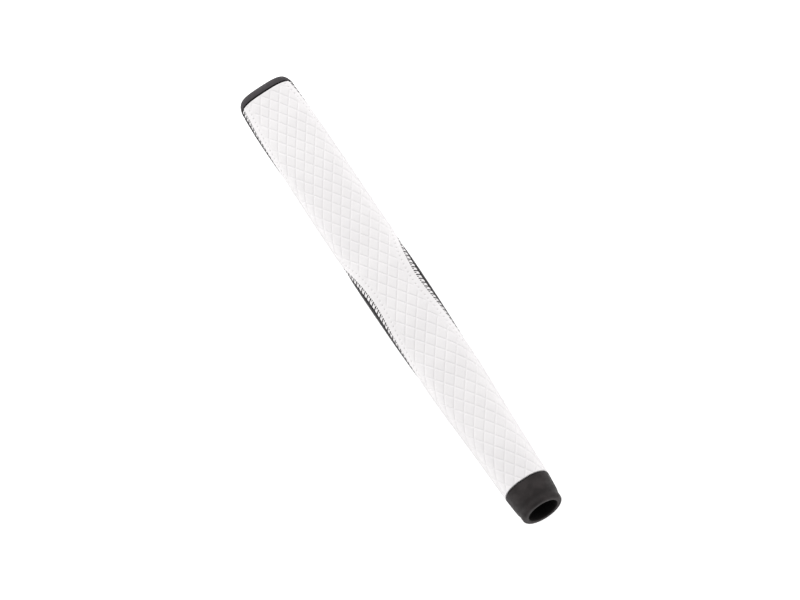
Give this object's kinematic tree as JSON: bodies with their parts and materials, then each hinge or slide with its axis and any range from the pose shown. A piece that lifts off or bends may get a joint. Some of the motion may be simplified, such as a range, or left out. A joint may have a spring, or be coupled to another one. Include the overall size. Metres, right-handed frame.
{
  "type": "golf putter grip",
  "caption": "Pistol putter grip with a flat front, a quilted white front cover stitched to a black back cover, a black butt cap and a tapered mouth collar.",
  "frame": {"origin": "centre of the mouth, on the shaft axis, where the shaft goes in", "axes": "+Y along the shaft axis from the mouth to the butt, +Z out of the flat front where the thumbs lie, +X to the right as seen by a golfer looking at the front with the butt up"},
  "size_m": [0.0308, 0.267, 0.0256],
  "materials": {
    "core": "matt foamed rubber",
    "end_rubber": "fine satin moulded rubber",
    "white_cover": "quilted polyurethane cover, soft satin",
    "black_cover": "grained polyurethane cover, satin",
    "felt": "needled felt",
    "thread": "twisted waxed thread"
  },
  "bodies": {
    "root": {"core_sleeve": "core", "butt_cap": "end_rubber", "mouth_collar": "end_rubber", "front_panel": "white_cover", "back_panel": "black_cover", "front_felt": "felt", "back_felt": "felt", "right_seam_thread": "thread", "left_seam_thread": "thread"}
  },
  "joints": []
}
